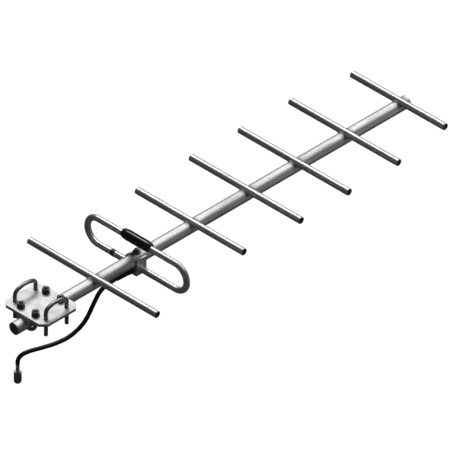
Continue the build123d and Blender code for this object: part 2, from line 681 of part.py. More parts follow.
# ---- write every piece ----
def main():
    os.makedirs("parts", exist_ok=True)

    save("boom_tube", make_boom_tube())
    save("boom_rear_plug", make_boom_plug(BOOM_REAR_Y, 1))
    save("boom_front_plug", make_boom_plug(BOOM_FRONT_Y, -1))
    save("reflector", make_element(REFLECTOR_Y, REFLECTOR_LENGTH))
    for index, (y, length) in enumerate(zip(DIRECTOR_Y, DIRECTOR_LENGTH), start=1):
        save("director_%d" % index, make_element(y, length))
    save("element_end_plugs", group(make_element_plugs()))
    for name, y in zip(ELEMENT_NAME, ELEMENT_Y):
        save("weld_" + name, group(make_welds(y)))

    save("dipole_loop", make_dipole_loop())
    save("dipole_feed_coax", make_dipole_feed_coax())
    save("feed_insulator", make_feed_insulator())
    save("feed_screws", group(make_feed_screws()))
    save("feed_housing", make_feed_housing())
    save("dipole_marker_sleeve", make_marker_sleeve())
    save("dipole_block", make_dipole_block())
    save("dipole_bolt", make_dipole_bolt())
    save("dipole_bolt_washers", group(make_dipole_bolt_washers()))
    save("dipole_bolt_nut", make_dipole_bolt_nut())

    save("cable_boot", make_cable_boot())
    save("cable_tail_root", make_cable_tail_root())
    save("coax_cable", make_coax_cable())
    save("crimp_ferrule", make_crimp_ferrule())
    save("plug_body", make_plug_body())
    save("plug_insulator", make_plug_insulator())
    save("plug_pin", make_plug_pin())
    save("plug_gasket", make_plug_gasket())
    save("plug_snap_ring", make_plug_snap_ring())
    save("coupling_nut", make_coupling_nut())

    save("mount_plate", make_mount_plate())
    save("boom_saddle", make_boom_saddle())
    save("boom_ubolts", group(make_boom_ubolts()))
    save("boom_ubolt_washers", group(washers_at(boom_leg_places(), 0.0)))
    save("boom_ubolt_lock_washers", group(lock_washers_at(boom_leg_places(), WASHER_T)))
    save("boom_ubolt_nuts", group(nuts_at(boom_leg_places(), WASHER_T + LOCK_WASHER_T)))
    save("mast_ubolt_left", make_mast_ubolt(-1))
    save("mast_ubolt_right", make_mast_ubolt(1))


main()
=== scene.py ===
import math

import bmesh
import bpy
from bpy.props import FloatProperty, FloatVectorProperty, IntProperty, PointerProperty
from mathutils import Matrix, Vector


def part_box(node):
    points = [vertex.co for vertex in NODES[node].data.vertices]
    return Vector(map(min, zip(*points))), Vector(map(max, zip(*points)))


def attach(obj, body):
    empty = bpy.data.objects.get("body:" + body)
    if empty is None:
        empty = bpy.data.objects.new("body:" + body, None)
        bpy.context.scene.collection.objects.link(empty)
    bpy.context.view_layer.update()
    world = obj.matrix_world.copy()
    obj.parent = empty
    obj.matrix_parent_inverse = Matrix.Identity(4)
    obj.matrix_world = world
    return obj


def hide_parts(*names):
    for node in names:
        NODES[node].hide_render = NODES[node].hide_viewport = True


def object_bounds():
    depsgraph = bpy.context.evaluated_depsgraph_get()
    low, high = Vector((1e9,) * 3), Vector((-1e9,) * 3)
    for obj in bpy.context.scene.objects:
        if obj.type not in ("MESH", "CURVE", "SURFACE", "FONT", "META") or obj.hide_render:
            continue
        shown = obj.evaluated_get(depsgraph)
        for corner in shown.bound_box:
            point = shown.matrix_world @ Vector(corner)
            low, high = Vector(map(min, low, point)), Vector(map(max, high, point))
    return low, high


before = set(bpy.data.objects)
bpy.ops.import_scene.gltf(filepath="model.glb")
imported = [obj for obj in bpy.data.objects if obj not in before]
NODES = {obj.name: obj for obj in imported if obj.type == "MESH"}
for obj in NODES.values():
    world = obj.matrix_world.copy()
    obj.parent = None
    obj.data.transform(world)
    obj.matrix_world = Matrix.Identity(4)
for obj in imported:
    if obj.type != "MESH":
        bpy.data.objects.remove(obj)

bl_info = {
    "name": "Yagi Antenna Pieces",
    "version": (1, 0, 0),
    "blender": (4, 5, 0),
    "location": "3D View > Sidebar > Yagi",
    "description": "Finishes, threads, weld beads, tail and stage for a yagi antenna",
    "category": "Object",
}

MM = 0.001
CAD_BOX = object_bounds()

# Places read from the frame
BOOM_LOW, BOOM_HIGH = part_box("boom_tube")
BOOM_R = (BOOM_HIGH.z - BOOM_LOW.z) / 2
BOOM_Z = (BOOM_HIGH.z + BOOM_LOW.z) / 2
RODS = ["reflector"] + ["director_%d" % number for number in range(1, 6)]
BOOT_LOW, BOOT_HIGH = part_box("cable_boot")
COVER_LOW, COVER_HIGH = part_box("feed_housing")
NUT_LOW, NUT_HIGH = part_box("coupling_nut")
FERRULE_LOW, FERRULE_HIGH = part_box("crimp_ferrule")
PLUG_X = (NUT_LOW.x + NUT_HIGH.x) / 2
PLUG_Y = (NUT_LOW.y + NUT_HIGH.y) / 2


# Small shape sizes that no frame box gives
BOOT_WALL = 1.1 * MM
BOOT_GRIP = 0.1 * MM
BOOT_BREAK = 0.5 * MM
BOOT_COLLAR = 9.0 * MM
BOOT_RIBS = 6
BOOT_RIB_START = 10.5 * MM
BOOT_RIB_END = 3.0 * MM
BOOT_RIB_HEIGHT = 0.8 * MM
BOOT_LIP = 2.6 * MM
BOOT_LIP_BREAK = 0.6 * MM
BOOT_RIB_SHAPE = ((0.0, -1.0), (0.12, -0.25), (0.25, 0.0), (0.5, 0.0), (0.63, -0.25), (0.75, -1.0))
COVER_NOSE_DROP = 1.7 * MM
COVER_TAPER = ((0.55, 0.0), (0.66, 0.10 * MM), (0.78, 0.45 * MM), (0.90, 1.15 * MM))
COVER_RIB_R = 0.32 * MM
COVER_RIB_SINK = 0.05 * MM
THREAD_TIP_BREAK = 0.8 * MM
THREAD_RUNOUT = 0.8 * MM
THREAD_CLEAR = 0.9 * MM
THREAD_SHORTER = 2.2 * MM
NUT_REAR_BORE = 4.65 * MM
NUT_RELIEF = 6.2 * MM
NUT_THREAD_BORE = 5.5 * MM
NUT_REAR_WALL = 4.2 * MM
NUT_RELIEF_END = 16.2 * MM
NUT_THREAD_DEPTH = 0.38 * MM
NUT_THREAD_PITCH = 0.907 * MM
NUT_THREAD_LENGTH = 7.6 * MM
KNURL_START = 5.3 * MM
KNURL_ENDS = 9.4 * MM
KNURL_LEAN = 0.16
BOLT_R = 3.0 * MM
SEAM_SWEEP = 148.0
SEAM_STEPS = 24


# ---- settings a user may change ----
def level_setting(name, description, default):
    return FloatProperty(name=name, description=description, default=default)


def length_setting(name, description, default):
    return FloatProperty(name=name, description=description, default=default, unit="LENGTH")


def angle_setting(name, description, degrees):
    return FloatProperty(name=name, description=description, default=math.radians(degrees), subtype="ANGLE")


def colour_setting(name, description, default):
    return FloatVectorProperty(name=name, description=description, default=default, subtype="COLOR")


class YagiStageSettings(bpy.types.PropertyGroup):
    """Camera, floor and light."""
    azimuth: angle_setting("Azimuth", "Camera's turn round the boom", 44.91)
    elevation: angle_setting("Elevation", "Camera's height above the horizon", 35.34)
    lens: level_setting("Lens", "Focal length in millimetres", 1650.0)
    view_width: length_setting("View width", "Width seen at the aim point", 0.8245)
    aim_ahead: length_setting("Aim ahead", "Aim point ahead of the boom's middle", 0.0326)
    aim_below: length_setting("Aim below", "Aim point below the boom's axis", 0.039)
    side_shift: level_setting("Side shift", "Small sideways lens shift", 0.0018)
    down_shift: level_setting("Down shift", "Small downward lens shift", 0.0014)
    floor_drop: length_setting("Floor drop", "Floor below the lowest piece", 0.62)
    floor_size: length_setting("Floor size", "Side of the floor", 16.0)
    floor_colour: colour_setting("Floor colour", "Pale floor", (0.93, 0.93, 0.93))
    floor_glow: level_setting("Floor glow", "Light that comes up through the floor", 0.62)
    key_strength: level_setting("Key light", "Strength of the main light", 1.05)
    key_softness: angle_setting("Key softness", "Apparent width of the main light", 26.0)
    boom_strength: level_setting("Boom light", "Strength of the light along the boom", 1.0)
    boom_softness: angle_setting("Boom light softness", "Apparent width of that light", 46.0)
    fill_power: level_setting("Fill light", "Power of the side light in watts", 1.6)
    sky_strength: level_setting("Room light", "Even light from all round", 0.05)


class YagiMetalSettings(bpy.types.PropertyGroup):
    """Colours of the bare metals."""
    tube: colour_setting("Tube", "Anodised tube", (0.80, 0.80, 0.80))
    plate: colour_setting("Plate", "Tumbled plate", (0.70, 0.70, 0.70))
    zinc: colour_setting("Zinc", "Zinc-plated steel", (0.34, 0.34, 0.345))
    nuts: colour_setting("Nuts", "Dulled zinc on nuts and washers", (0.15, 0.15, 0.155))
    stainless: colour_setting("Stainless", "Stainless steel", (0.36, 0.36, 0.36))
    nickel: colour_setting("Nickel", "Bright nickel", (0.66, 0.65, 0.63))
    dark_nickel: colour_setting("Dark nickel", "Black nickel", (0.34, 0.34, 0.345))


class YagiMouldSettings(bpy.types.PropertyGroup):
    """Colours of the moulded pieces."""
    cover: colour_setting("Feed cover", "Glossy moulded cover", (0.012, 0.012, 0.013))
    jacket: colour_setting("Jacket", "Cable jacket", (0.013, 0.013, 0.013))
    boot: colour_setting("Boot", "Bend relief", (0.018, 0.018, 0.018))
    plug: colour_setting("Tube plugs", "Plugs in the tube ends", (0.035, 0.035, 0.035))
    # Boom plugs: the tube plugs' black made five times lighter, painted light so the boom's shaded rear end
    # isn't black.
    lit_boom_plug: colour_setting("Boom plugs", "Plugs in the boom's ends", (0.175, 0.175, 0.175))


class YagiDetailSettings(bpy.types.PropertyGroup):
    """Sizes of threads, beads and knurl."""
    thread_pitch: length_setting("U-bolt pitch", "Thread pitch of the U-bolts", 1.25 * MM)
    thread_depth: length_setting("U-bolt thread depth", "Crest above root", 0.62 * MM)
    boom_thread: length_setting("Boom U-bolt thread", "Threaded length of each leg", 32.0 * MM)
    mast_thread: length_setting("Mast U-bolt thread", "Threaded length of each leg", 31.0 * MM)
    mast_leg_top: length_setting("Mast leg top", "Height where the mast bolts' legs end", 11.9 * MM)
    mast_shoulder: length_setting("Mast shoulder", "Bend radius over each leg", 10.0 * MM)
    mast_crown: length_setting("Mast crown", "Radius of the shallow crown", 50.0 * MM)
    bolt_pitch: length_setting("Bolt pitch", "Thread pitch of the through bolt", 1.0 * MM)
    bead_radius: length_setting("Bead radius", "Radius of the weld bead", 1.85 * MM)
    bead_pitch: length_setting("Bead pitch", "Distance between weld ripples", 1.05 * MM)
    bead_seed: IntProperty(name="Bead seed", description="Seed of the bead's unevenness", default=7)
    knurl_count: IntProperty(name="Knurl count", description="Ridges each way round the nut", default=30)
    knurl_height: length_setting("Knurl height", "Height of a ridge", 0.42 * MM)
    cable_diameter: length_setting("Cable", "Diameter of the coaxial tail", 8.6 * MM)


# ---- mesh helpers ----
def linked(name, mesh):
    """Object at the origin with a mesh, in the scene."""
    piece = bpy.data.objects.new(name, mesh)
    bpy.context.scene.collection.objects.link(piece)
    return piece


def shade_smooth(mesh, sharp_degrees=35.0):
    """Smooth faces, with edges over an angle kept sharp."""
    mesh.polygons.foreach_set("use_smooth", [True] * len(mesh.polygons))
    shape = bmesh.new()
    shape.from_mesh(mesh)
    for edge in shape.edges:
        if len(edge.link_faces) == 2:
            edge.smooth = edge.calc_face_angle(0.0) < math.radians(sharp_degrees)
    shape.to_mesh(mesh)
    shape.free()


def lathe_mesh(name, outline, origin, axis, sides=72, closed=False):
    """Turns an outline of (radius, along) round an axis. A closed outline makes a ring."""
    turn = Vector((0, 0, 1)).rotation_difference(Vector(axis)).to_matrix()
    shape = bmesh.new()
    rings = []
    for radius, along in outline:
        if radius < 1e-7:
            rings.append([shape.verts.new(Vector(origin) + turn @ Vector((0, 0, along)))])
            continue
        ring = []
        for index in range(sides):
            angle = 2 * math.pi * index / sides
            place = Vector((radius * math.cos(angle), radius * math.sin(angle), along))
            ring.append(shape.verts.new(Vector(origin) + turn @ place))
        rings.append(ring)
    pairs = list(zip(rings, rings[1:]))
    if closed:
        pairs.append((rings[-1], rings[0]))
    for first, second in pairs:
        for index in range(sides):
            after = (index + 1) % sides
            corners = [first[index % len(first)], first[after % len(first)],
                       second[after % len(second)], second[index % len(second)]]
            shape.faces.new(dict.fromkeys(corners))
    bmesh.ops.recalc_face_normals(shape, faces=shape.faces)
    mesh = bpy.data.meshes.new(name)
    shape.to_mesh(mesh)
    shape.free()
    return mesh


def bar_mesh(name, stations, binormal, sides=36):
    """Round bar through (place, radius) stations in one plane, closed at both ends."""
    binormal = Vector(binormal).normalized()
    places = [Vector(place) for place, radius in stations]
    shape = bmesh.new()
    rings = []
    for index, (place, radius) in enumerate(stations):
        before = places[max(index - 1, 0)]
        after = places[min(index + 1, len(places) - 1)]
        normal = binormal.cross((after - before).normalized())
        ring = []
        for step in range(sides):
            angle = 2 * math.pi * step / sides
            offset = normal * math.cos(angle) + binormal * math.sin(angle)
            ring.append(shape.verts.new(Vector(place) + offset * radius))
        rings.append(ring)
    for first, second in zip(rings, rings[1:]):
        for step in range(sides):
            after = (step + 1) % sides
            shape.faces.new([first[step], first[after], second[after], second[step]])
    shape.faces.new(rings[0])
    shape.faces.new(rings[-1])
    bmesh.ops.recalc_face_normals(shape, faces=shape.faces)
    mesh = bpy.data.meshes.new(name)
    shape.to_mesh(mesh)
    shape.free()
    return mesh


def joined(name, meshes):
    """One mesh out of several, which keep their own shells."""
    shape = bmesh.new()
    for mesh in meshes:
        shape.from_mesh(mesh)
    whole = bpy.data.meshes.new(name)
    shape.to_mesh(whole)
    shape.free()
    return whole


def line_mesh(name, lines):
    """Loose poly-lines as edges, for a node tree to follow."""
    mesh = bpy.data.meshes.new(name)
    places = []
    edges = []
    for line in lines:
        start = len(places)
        places += [tuple(place) for place in line]
        edges += [(start + index, start + index + 1) for index in range(len(line) - 1)]
    mesh.from_pydata(places, edges, [])
    return mesh


def stand_in(name, mesh, finish, node, body):
    """Object in one finish that replaces a CAD node and rides on its body."""
    mesh.materials.clear()
    mesh.materials.append(FINISHES[finish])
    piece = linked(name, mesh)
    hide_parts(node)
    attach(piece, body)


# ---- node tree helpers ----
class Tree:
    """A Geometry Nodes tree under construction."""

    def __init__(self, name, takes_geometry):
        self.group = bpy.data.node_groups.new(name, "GeometryNodeTree")
        self.sockets = {}
        if takes_geometry:
            self.group.interface.new_socket("Geometry", in_out="INPUT", socket_type="NodeSocketGeometry")
        self.group.interface.new_socket("Geometry", in_out="OUTPUT", socket_type="NodeSocketGeometry")
        self.inputs = self.group.nodes.new("NodeGroupInput")
        self.output = self.group.nodes.new("NodeGroupOutput")

    def input(self, name, kind="NodeSocketFloat"):
        socket = self.group.interface.new_socket(name, in_out="INPUT", socket_type=kind)
        self.sockets[name] = socket.identifier
        return self.inputs.outputs[name]

    def node(self, kind, links=None, **settings):
        node = self.group.nodes.new("GeometryNode" + kind if not kind.startswith("!") else kind[1:])
        for name, value in settings.items():
            setattr(node, name, value)
        for name, value in (links or {}).items():
            socket = node.inputs[name]
            if isinstance(value, bpy.types.NodeSocket):
                self.group.links.new(value, socket)
            else:
                socket.default_value = value
        return node

    def math(self, operation, first, second=0.0):
        return self.node("!ShaderNodeMath", {0: first, 1: second}, operation=operation).outputs[0]

    def finish(self, geometry, material):
        """Realize, smooth and paint: the end of every tree here."""
        real = self.node("RealizeInstances", {"Geometry": geometry})
        smooth = self.node("SetShadeSmooth", {"Geometry": real.outputs["Geometry"]})
        painted = self.node("SetMaterial", {"Geometry": smooth.outputs["Geometry"], "Material": material})
        self.group.links.new(painted.outputs["Geometry"], self.output.inputs["Geometry"])
        return self


def grown(name, base, tree, values):
    """Plain mesh that a tree makes from a base mesh and values for its inputs."""
    seedling = linked(name + "_seedling", base)
    modifier = seedling.modifiers.new("tree", "NODES")
    modifier.node_group = tree.group
    for label, value in values.items():
        modifier[tree.sockets[label]] = value
    depsgraph = bpy.context.evaluated_depsgraph_get()
    mesh = bpy.data.meshes.new_from_object(seedling.evaluated_get(depsgraph))
    mesh.name = name
    seedling.modifiers.remove(modifier)
    bpy.data.objects.remove(seedling)
    if not mesh.polygons:
        raise RuntimeError("the tree for %s made no faces" % name)
    return mesh


def thread_tree():
    """Helical ridge round the Z axis, for a screw thread."""
    tree = Tree("Thread ridge", takes_geometry=False)
    root = tree.input("Root radius")
    depth = tree.input("Depth")
    pitch = tree.input("Pitch")
    length = tree.input("Length")
    material = tree.input("Material", "NodeSocketMaterial")
    turns = tree.math("DIVIDE", length, pitch)
    helix = tree.node("CurveSpiral", {"Resolution": 28, "Rotations": turns, "Start Radius": root,
                                      "End Radius": root, "Height": length})
    ridge = tree.node("CurvePrimitiveCircle", {"Resolution": 6, "Radius": depth}, mode="RADIUS")
    mesh = tree.node("CurveToMesh", {"Curve": helix.outputs["Curve"],
                                     "Profile Curve": ridge.outputs["Curve"], "Fill Caps": True})
    return tree.finish(mesh.outputs["Mesh"], material)


def weld_tree():
    """Overlapping ripples along the seams of a line mesh, thinner at each seam's ends."""
    tree = Tree("Weld bead", takes_geometry=True)
    radius = tree.input("Radius")
    pitch = tree.input("Pitch")
    seed = tree.input("Seed", "NodeSocketInt")
    material = tree.input("Material", "NodeSocketMaterial")
    seams = tree.node("MeshToCurve", {"Mesh": tree.inputs.outputs["Geometry"]})
    even = tree.node("ResampleCurve", {"Curve": seams.outputs["Curve"], "Length": pitch}, mode="LENGTH")
    along = tree.node("SplineParameter").outputs["Factor"]
    arch = tree.math("SINE", tree.math("MULTIPLY", along, math.pi))
    taper = tree.math("ADD", tree.math("MULTIPLY", tree.math("POWER", arch, 0.35), 0.38), 0.62)
    uneven = tree.node("!FunctionNodeRandomValue", {2: 0.90, 3: 1.08, "Seed": seed}, data_type="FLOAT")
    width = tree.math("MULTIPLY", radius, tree.math("MULTIPLY", taper, uneven.outputs[1]))
    flat = tree.math("MULTIPLY", width, 0.52)
    size = tree.node("!ShaderNodeCombineXYZ", {"X": width, "Y": width, "Z": flat})
    tangent = tree.node("InputTangent").outputs["Tangent"]
    facing = tree.node("!FunctionNodeAlignRotationToVector", {"Vector": tangent}, axis="Z")
    ripple = tree.node("MeshUVSphere", {"Segments": 12, "Rings": 6, "Radius": 1.0})
    beads = tree.node("InstanceOnPoints", {"Points": even.outputs["Curve"],
                                           "Instance": ripple.outputs["Mesh"],
                                           "Rotation": facing.outputs["Rotation"],
                                           "Scale": size.outputs["Vector"]})
    return tree.finish(beads.outputs["Instances"], material)


def knurl_tree():
    """Crossed slanting ridges round the Z axis."""
    tree = Tree("Diamond knurl", takes_geometry=False)
    radius = tree.input("Radius")
    height = tree.input("Ridge height")
    length = tree.input("Length")
    count = tree.input("Count", "NodeSocketInt")
    lean = tree.input("Lean")
    material = tree.input("Material", "NodeSocketMaterial")
    profile = tree.node("CurvePrimitiveCircle", {"Resolution": 4, "Radius": height}, mode="RADIUS")
    step = tree.math("DIVIDE", 2 * math.pi, count)
    turn = tree.math("MULTIPLY", tree.node("InputIndex").outputs["Index"], step)
    spin = tree.node("!ShaderNodeCombineXYZ", {"Z": turn})
    both = tree.node("JoinGeometry")
    for reverse in (False, True):
        helix = tree.node("CurveSpiral", {"Resolution": 96, "Rotations": lean, "Start Radius": radius,
                                          "End Radius": radius, "Height": length, "Reverse": reverse})
        ridge = tree.node("CurveToMesh", {"Curve": helix.outputs["Curve"],
                                          "Profile Curve": profile.outputs["Curve"], "Fill Caps": True})
        spots = tree.node("Points", {"Count": count})
        copies = tree.node("InstanceOnPoints", {"Points": spots.outputs[0],
                                                "Instance": ridge.outputs["Mesh"],
                                                "Rotation": spin.outputs["Vector"]})
        tree.group.links.new(copies.outputs["Instances"], both.inputs["Geometry"])
    return tree.finish(both.outputs["Geometry"], material)


# ---- finishes ----
class Finish:
    """A node-based material on Object coordinates, in metres."""

    def __init__(self, name, colour, metallic, roughness):
        self.material = bpy.data.materials.new(name)
        self.material.use_nodes = True
        self.nodes = self.material.node_tree.nodes
        self.links = self.material.node_tree.links
        self.shader = self.nodes["Principled BSDF"]
        self.place = self.nodes.new("ShaderNodeTexCoord").outputs["Object"]
        self.shader.inputs["Metallic"].default_value = metallic
        self.set("Base Color", (*colour, 1.0))
        self.set("Roughness", roughness)
        self.colour = (*colour, 1.0)
        self.roughness = roughness
        self.height = None
        self.material.diffuse_color = self.colour

    def set(self, name, value):
        if isinstance(value, bpy.types.NodeSocket):
            self.links.new(value, self.shader.inputs[name])
        else:
            self.shader.inputs[name].default_value = value

    def node(self, kind, links=None, **settings):
        node = self.nodes.new("ShaderNode" + kind)
        for name, value in settings.items():
            setattr(node, name, value)
        for name, value in (links or {}).items():
            if isinstance(value, bpy.types.NodeSocket):
                self.links.new(value, node.inputs[name])
            else:
                node.inputs[name].default_value = value
        return node

    def math(self, operation, first, second=0.0):
        return self.node("Math", {0: first, 1: second}, operation=operation).outputs[0]

    def grain(self, per_metre, detail=3.0, turn=(0.0, 0.0, 0.0)):
        """Noise with its own fineness along X, Y and Z."""
        mapped = self.node("Mapping", {"Vector": self.place, "Rotation": turn, "Scale": per_metre})
        noise = self.node("TexNoise", {"Vector": mapped.outputs["Vector"], "Scale": 1.0, "Detail": detail})
        return noise.outputs["Fac"]

    def spread(self, value, low, high, to_low=0.0, to_high=1.0):
        """Stretches a band of a value to a new range."""
        node = self.node("MapRange", {"Value": value, "From Min": low, "From Max": high,
                                      "To Min": to_low, "To Max": to_high})
        return node.outputs["Result"]

    def tint(self, mask, colour):
        """Mixes a colour over what is there, by a mask."""
        mix = self.nodes.new("ShaderNodeMix")
        mix.data_type = "RGBA"
        self.links.new(mask, mix.inputs[0])
        under = self.colour
        if isinstance(under, bpy.types.NodeSocket):
            self.links.new(under, mix.inputs[6])
        else:
            mix.inputs[6].default_value = under
        mix.inputs[7].default_value = (*colour, 1.0)
        self.colour = mix.outputs[2]
        self.set("Base Color", self.colour)

    def rough(self, mask, change):
        """Adds to the roughness where a mask is bright."""
        added = self.math("MULTIPLY", mask, change)
        self.roughness = self.math("ADD", self.roughness, added)
        self.set("Roughness", self.roughness)

    def bump(self, mask, depth):
        """Raises the surface by a mask, with a depth in metres."""
        links = {"Height": mask, "Distance": depth, "Strength": 1.0}
        if self.height is not None:
            links["Normal"] = self.height
        self.height = self.node("Bump", links).outputs["Normal"]
        self.set("Normal", self.height)


def shade(colour, factor):
    """A colour made darker or lighter."""
    return tuple(min(channel * factor, 1.0) for channel in colour)


def stretched(axis, along, across):
    """Fineness per metre for lines that run along one axis."""
    return tuple(along if index == axis else across for index in range(3))


def drawn_tube(name, colour, axis, roughness=0.34):
    """Drawn, clear-anodised aluminium tube: die lines, mottled film, scuffs and fine pits."""
    finish = Finish(name, colour, 1.0, roughness)
    die_lines = finish.grain(stretched(axis, 3.0, 900.0), 4.0)
    film = finish.grain(stretched(axis, 14.0, 60.0), 4.0)
    scuffs = finish.grain((260.0, 260.0, 1900.0), 2.0, (0.5, 0.9, 0.4))
    pits = finish.grain((2600.0, 2600.0, 2600.0), 1.0)
    finish.tint(finish.spread(film, 0.42, 0.66), shade(colour, 0.80))
    finish.tint(finish.spread(scuffs, 0.66, 0.72, 0.0, 0.55), shade(colour, 0.62))
    finish.tint(finish.spread(pits, 0.70, 0.76, 0.0, 0.7), shade(colour, 0.45))
    finish.rough(die_lines, 0.12)
    finish.rough(finish.spread(film, 0.4, 0.7), 0.08)
    finish.bump(die_lines, 0.012 * MM)
    finish.bump(finish.spread(pits, 0.68, 0.78), -0.02 * MM)
    return finish


def boom_finish(colour):
    """The boom's tube finish, a little darker than the rods' tube, with a mottled dark grey painted shadow
    on the boom's upper side round each welded rod.
    """
    # The base colour is made darker than the rods' tube: painted shade that tones down the boom's
    # highlight.
    finish = drawn_tube("boom_tube_finish", shade(colour, 0.92), 1, 0.46)
    height = finish.node("SeparateXYZ", {"Vector": finish.place})
    # Painted shadow of the rods: a band round each rod, on the boom's upper side only, made ragged by
    # noise.
    rod_shadow_paint = None
    for node in RODS:
        low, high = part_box(node)
        away = finish.math("ABSOLUTE", finish.math("SUBTRACT", height.outputs["Y"], (low.y + high.y) / 2))
        near = finish.spread(away, 9.0 * MM, 17.0 * MM, 1.0, 0.0)
        rod_shadow_paint = near if rod_shadow_paint is None else finish.math("MAXIMUM", rod_shadow_paint, near)
    upper = finish.spread(height.outputs["Z"], BOOM_Z - 2 * MM, BOOM_Z + 9 * MM)
    ragged = finish.spread(finish.grain((220.0, 220.0, 220.0), 4.0), 0.30, 0.62, 0.35, 1.0)
    # The painted rod shadow goes dark grey and a little rougher.
    mask = finish.math("MULTIPLY", finish.math("MULTIPLY", rod_shadow_paint, upper), ragged)
    finish.tint(mask, shade(colour, 0.30))
    finish.rough(mask, 0.16)
    return finish.material


def weld_finish(colour):
    """As-welded aluminium: frosty, sooty in the valleys."""
    finish = Finish("weld_finish", shade(colour, 0.86), 1.0, 0.40)
    frost = finish.grain((900.0, 900.0, 900.0), 4.0)
    soot = finish.grain((180.0, 180.0, 180.0), 3.0)
    finish.tint(finish.spread(soot, 0.45, 0.70, 0.0, 0.8), shade(colour, 0.42))
    finish.rough(frost, 0.18)
    finish.bump(frost, 0.05 * MM)
    return finish.material


def plate_finish(name, colour):
    """Sawn plate, tumbled dull: crossing scratches, handling marks and an uneven oxide film."""
    finish = Finish(name, colour, 1.0, 0.42)
    film = finish.grain((45.0, 45.0, 45.0), 5.0)
    rolled = finish.grain((1400.0, 26.0, 1400.0), 3.0)
    scratch_one = finish.grain((60.0, 2400.0, 300.0), 1.0, (0.0, 0.0, 0.6))
    scratch_two = finish.grain((60.0, 2400.0, 300.0), 1.0, (0.0, 0.0, -1.1))
    finish.tint(finish.spread(film, 0.40, 0.68), shade(colour, 0.78))
    finish.tint(finish.spread(scratch_one, 0.68, 0.74, 0.0, 0.6), shade(colour, 1.28))
    finish.tint(finish.spread(scratch_two, 0.69, 0.75, 0.0, 0.6), shade(colour, 0.60))
    finish.rough(film, 0.14)
    finish.bump(rolled, 0.012 * MM)
    finish.bump(finish.spread(scratch_one, 0.66, 0.76), -0.02 * MM)
    return finish.material


def zinc_finish(name, colour):
    """Bright zinc plate on rolled steel: faint spangle, dull film and small nicks."""
    finish = Finish(name, colour, 1.0, 0.30)
    spangle = finish.node("TexVoronoi", {"Vector": finish.place, "Scale": 420.0}, feature="F1")
    cells = finish.node("SeparateXYZ", {"Vector": spangle.outputs["Color"]}).outputs["X"]
    film = finish.grain((140.0, 140.0, 140.0), 5.0)
    nicks = finish.grain((1500.0, 1500.0, 1500.0), 1.0)
    finish.tint(finish.spread(film, 0.42, 0.70), shade(colour, 0.66))
    finish.tint(finish.spread(nicks, 0.70, 0.75, 0.0, 0.7), shade(colour, 0.40))
    finish.rough(finish.math("MULTIPLY", cells, film), 0.22)
    finish.bump(finish.grain((2200.0, 2200.0, 2200.0), 3.0), 0.012 * MM)
    return finish.material


def turned_finish(name, colour, axis, roughness):
    """Turned or drawn hardware: fine tool lines and a little tarnish."""
    finish = Finish(name, colour, 1.0, roughness)
    lines = finish.grain(stretched(axis, 3400.0, 120.0), 3.0)
    tarnish = finish.grain((260.0, 260.0, 260.0), 4.0)
    finish.tint(finish.spread(tarnish, 0.46, 0.72), shade(colour, 0.62))
    finish.rough(lines, 0.16)
    finish.bump(lines, 0.010 * MM)
    return finish.material


def knurl_finish(colour):
    """Black nickel, worn brighter on the crests of the knurl."""
    finish = Finish("knurl_finish", colour, 1.0, 0.30)
    centred = finish.node("VectorMath", {0: finish.place, 1: (-PLUG_X, -PLUG_Y, 0.0)}, operation="ADD")
    flat = finish.node("VectorMath", {0: centred.outputs[0], 1: (1.0, 1.0, 0.0)}, operation="MULTIPLY")
    reach = finish.node("VectorMath", {0: flat.outputs[0]}, operation="LENGTH").outputs["Value"]
    radius = (NUT_HIGH.x - NUT_LOW.x) / 2
    grime = finish.grain((700.0, 700.0, 700.0), 4.0)
    crest = finish.spread(reach, radius - 0.16 * MM, radius, 0.0, 1.0)
    worn = finish.math("MULTIPLY", crest, finish.spread(grime, 0.34, 0.60))
    finish.tint(worn, shade(colour, 2.6))
    finish.tint(finish.spread(grime, 0.55, 0.75, 0.0, 0.7), shade(colour, 0.45))
    finish.rough(grime, 0.20)
    finish.bump(grime, 0.015 * MM)
    return finish.material


def moulded_finish(name, colour, roughness, grain_depth, per_metre=900.0):
    """Moulded plastic or rubber: fine grain, slight flow marks, dust and rub marks."""
    finish = Finish(name, colour, 0.0, roughness)
    finish.shader.inputs["IOR"].default_value = 1.5
    grain = finish.grain((per_metre, per_metre, per_metre), 3.0)
    flow = finish.grain((38.0, 70.0, 70.0), 3.0)
    rubs = finish.grain((120.0, 2100.0, 2100.0), 2.0, (0.3, 0.2, 0.5))
    finish.tint(finish.spread(flow, 0.45, 0.75, 0.0, 0.6), shade(colour, 1.9))
    finish.tint(finish.spread(rubs, 0.69, 0.76, 0.0, 0.5), shade(colour, 3.2))
    finish.rough(grain, 0.10)
    finish.rough(finish.spread(rubs, 0.66, 0.76), 0.14)
    finish.bump(grain, grain_depth)
    return finish.material


def dipped_finish(name, colour, metallic, roughness):
    """Small inner pieces: a plain finish with a little mottling."""
    finish = Finish(name, colour, metallic, roughness)
    mottle = finish.grain((520.0, 520.0, 520.0), 4.0)
    finish.tint(finish.spread(mottle, 0.45, 0.72), shade(colour, 0.74))
    finish.rough(mottle, 0.12)
    finish.bump(mottle, 0.01 * MM)
    return finish.material


def paint(nodes, material):
    """Puts one finish on the material slots of CAD nodes."""
    for name in nodes:
        for slot in NODES[name].material_slots:
            slot.material = material


